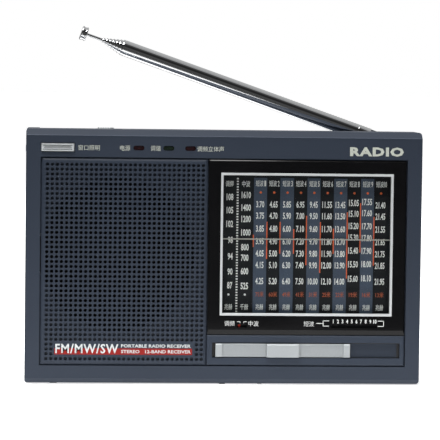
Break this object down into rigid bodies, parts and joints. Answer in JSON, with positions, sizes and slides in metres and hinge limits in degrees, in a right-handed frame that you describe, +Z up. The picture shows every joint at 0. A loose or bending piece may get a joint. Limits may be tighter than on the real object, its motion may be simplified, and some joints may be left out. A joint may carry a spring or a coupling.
{
  "type": "shortwave receiver",
  "caption": "Portable slide-band radio with speaker grille, glass-fronted dial with moving pointer, thumb knobs, kickstand, battery box and telescopic aerial.",
  "frame": {"origin": "centre of the base, on the surface that the feet stand on, midway between the slider's grip and the rear face", "axes": "+X to the right seen from the front, +Y to the back, +Z up"},
  "size_m": [0.1504, 0.0328, 0.1355],
  "materials": {
    "case_plastic": "fine spark texture, slate blue-grey",
    "grille_plastic": "fine matt texture",
    "black_gloss": "polished",
    "silver_paint": "satin silver paint",
    "switch_grey": "satin",
    "clear_acrylic": "polished, clear",
    "dial_card": "printed",
    "white_plastic": "moulded",
    "lamp_glass": "clear bulb",
    "pointer_paint": "satin paint",
    "steel": "plated",
    "band_plastic": "fine matt texture",
    "black_plastic": "moulded",
    "red_lamp": "tinted lens, unlit",
    "green_lamp": "tinted lens, unlit",
    "board": "laminate with solder mask",
    "brass": "turned",
    "milky_plastic": "translucent moulding",
    "blue_sleeve": "shrunk sleeve",
    "ferrite": "sintered, matt",
    "copper_winding": "enamelled wire",
    "paper_cone": "pressed paper",
    "black_cloth": "thin felt",
    "cell_wrap": "printed wrap, plain",
    "rubber": "moulded",
    "screw_steel": "blackened",
    "chrome": "polished"
  },
  "bodies": {
    "case": {"front_shell": "case_plastic", "rear_shell": "case_plastic", "grille_panel": "grille_plastic", "dust_cloth": "black_cloth", "window_panel": "black_gloss", "window_trim": "silver_paint", "dial_lens": "clear_acrylic", "dial_scale": "dial_card", "dial_chassis": "white_plastic", "dial_lamps": "lamp_glass", "pointer_rails": "steel", "band_plate": "band_plastic", "band_switch": "steel", "small_switches": "steel", "led_power": "red_lamp", "led_tuning": "green_lamp", "led_stereo": "red_lamp", "circuit_boards": "board", "tuning_capacitor": "milky_plastic", "drive_bracket": "steel", "volume_pot": "black_plastic", "chips": "black_plastic", "coil_cans": "steel", "electrolytics": "blue_sleeve", "ferrite_rod": "ferrite", "ferrite_coil": "copper_winding", "speaker_frame": "steel", "speaker_magnet": "ferrite", "speaker_cone": "paper_cone", "earphone_jack": "black_plastic", "dc_jack": "black_plastic", "battery_cells": "cell_wrap", "battery_contacts": "steel", "feet": "rubber", "screws": "screw_steel"},
    "pointer": {"pointer": "pointer_paint", "pointer_carriage": "white_plastic"},
    "band_slider": {"band_knob": "silver_paint", "band_indicator": "black_plastic", "band_switch_slider": "black_plastic"},
    "light_button": {"light_button": "silver_paint"},
    "power_switch": {"power_knob": "silver_paint"},
    "dx_switch": {"dx_knob": "switch_grey"},
    "tuning": {"tuning_knob": "case_plastic", "tuning_shaft": "brass"},
    "tuning_rotor": {"tuning_gear": "white_plastic"},
    "volume": {"volume_knob": "case_plastic"},
    "battery_door": {"battery_door": "case_plastic"},
    "kickstand": {"kickstand": "case_plastic"},
    "aerial_base": {"aerial_turret": "chrome", "aerial_pin": "steel"},
    "aerial_mast": {"aerial_ferrule": "chrome", "aerial_tube_0": "chrome"},
    "aerial_section_1": {"aerial_tube_1": "chrome"},
    "aerial_section_2": {"aerial_tube_2": "chrome"},
    "aerial_section_3": {"aerial_tube_3": "chrome"},
    "aerial_section_4": {"aerial_tube_4": "chrome"},
    "aerial_section_5": {"aerial_tube_5": "chrome"},
    "aerial_section_6": {"aerial_tube_6": "chrome"},
    "aerial_section_7": {"aerial_rod": "chrome"}
  },
  "joints": [
    {"name": "tuning_turn", "type": "hinge", "parent": "case", "child": "tuning", "pos_m": [0.073, -0.0014, 0.054], "axis": [1, 0, 0], "range_deg": [-324, 353]},
    {"name": "pointer_slide", "type": "slide", "parent": "case", "child": "pointer", "axis": [0, 0, 1], "range_m": [-0.0184, 0.0169]},
    {"name": "capacitor_turn", "type": "hinge", "parent": "case", "child": "tuning_rotor", "pos_m": [0.064, 0.0021, 0.06781], "axis": [1, 0, 0], "range_deg": [-95, 87]},
    {"name": "volume_turn", "type": "hinge", "parent": "case", "child": "volume", "pos_m": [0.073, -0.0014, 0.023], "axis": [1, 0, 0], "range_deg": [-150, 150]},
    {"name": "band_slide", "type": "slide", "parent": "case", "child": "band_slider", "axis": [1, 0, 0], "range_m": [0, 0.0187]},
    {"name": "light_push", "type": "slide", "parent": "case", "child": "light_button", "axis": [0, 1, 0], "range_m": [0, 0.0007], "stiffness_N_per_m": 1500},
    {"name": "power_slide", "type": "slide", "parent": "case", "child": "power_switch", "axis": [1, 0, 0], "range_m": [0, 0.003]},
    {"name": "dx_slide", "type": "slide", "parent": "case", "child": "dx_switch", "axis": [0, 1, 0], "range_m": [0, 0.0025]},
    {"name": "door_slide", "type": "slide", "parent": "case", "child": "battery_door", "axis": [1, 0, 0], "range_m": [0, 0.06]},
    {"name": "stand_fold", "type": "hinge", "parent": "case", "child": "kickstand", "pos_m": [-0.04, 0.0148, 0.0735], "axis": [1, 0, 0], "range_deg": [0, 40]},
    {"name": "aerial_swivel", "type": "hinge", "parent": "case", "child": "aerial_base", "pos_m": [0.0615, 0.0105, 0.089], "axis": [0, 0, 1], "range_deg": [-180, 0]},
    {"name": "aerial_tilt", "type": "hinge", "parent": "aerial_base", "child": "aerial_mast", "pos_m": [0.0615, 0.0105, 0.0929], "axis": [0, 1, 0], "range_deg": [-19.1, 70.9]},
    {"name": "aerial_pull_1", "type": "slide", "parent": "aerial_mast", "child": "aerial_section_1", "axis": [-0.9449, 0, 0.3272], "range_m": [0, 0.084]},
    {"name": "aerial_pull_2", "type": "slide", "parent": "aerial_section_1", "child": "aerial_section_2", "axis": [-0.9449, 0, 0.3272], "range_m": [0, 0.084]},
    {"name": "aerial_pull_3", "type": "slide", "parent": "aerial_section_2", "child": "aerial_section_3", "axis": [-0.9449, 0, 0.3272], "range_m": [0, 0.084]},
    {"name": "aerial_pull_4", "type": "slide", "parent": "aerial_section_3", "child": "aerial_section_4", "axis": [-0.9449, 0, 0.3272], "range_m": [0, 0.084]},
    {"name": "aerial_pull_5", "type": "slide", "parent": "aerial_section_4", "child": "aerial_section_5", "axis": [-0.9449, 0, 0.3272], "range_m": [0, 0.084]},
    {"name": "aerial_pull_6", "type": "slide", "parent": "aerial_section_5", "child": "aerial_section_6", "axis": [-0.9449, 0, 0.3272], "range_m": [0, 0.084]},
    {"name": "aerial_pull_7", "type": "slide", "parent": "aerial_section_6", "child": "aerial_section_7", "axis": [-0.9449, 0, 0.3272], "range_m": [0, 0.084]}
  ],
  "couplings": [
    {"joint": "tuning_turn", "follows": "pointer_slide", "rad_per_m": -333.33},
    {"joint": "capacitor_turn", "follows": "pointer_slide", "rad_per_m": 88.889}
  ]
}
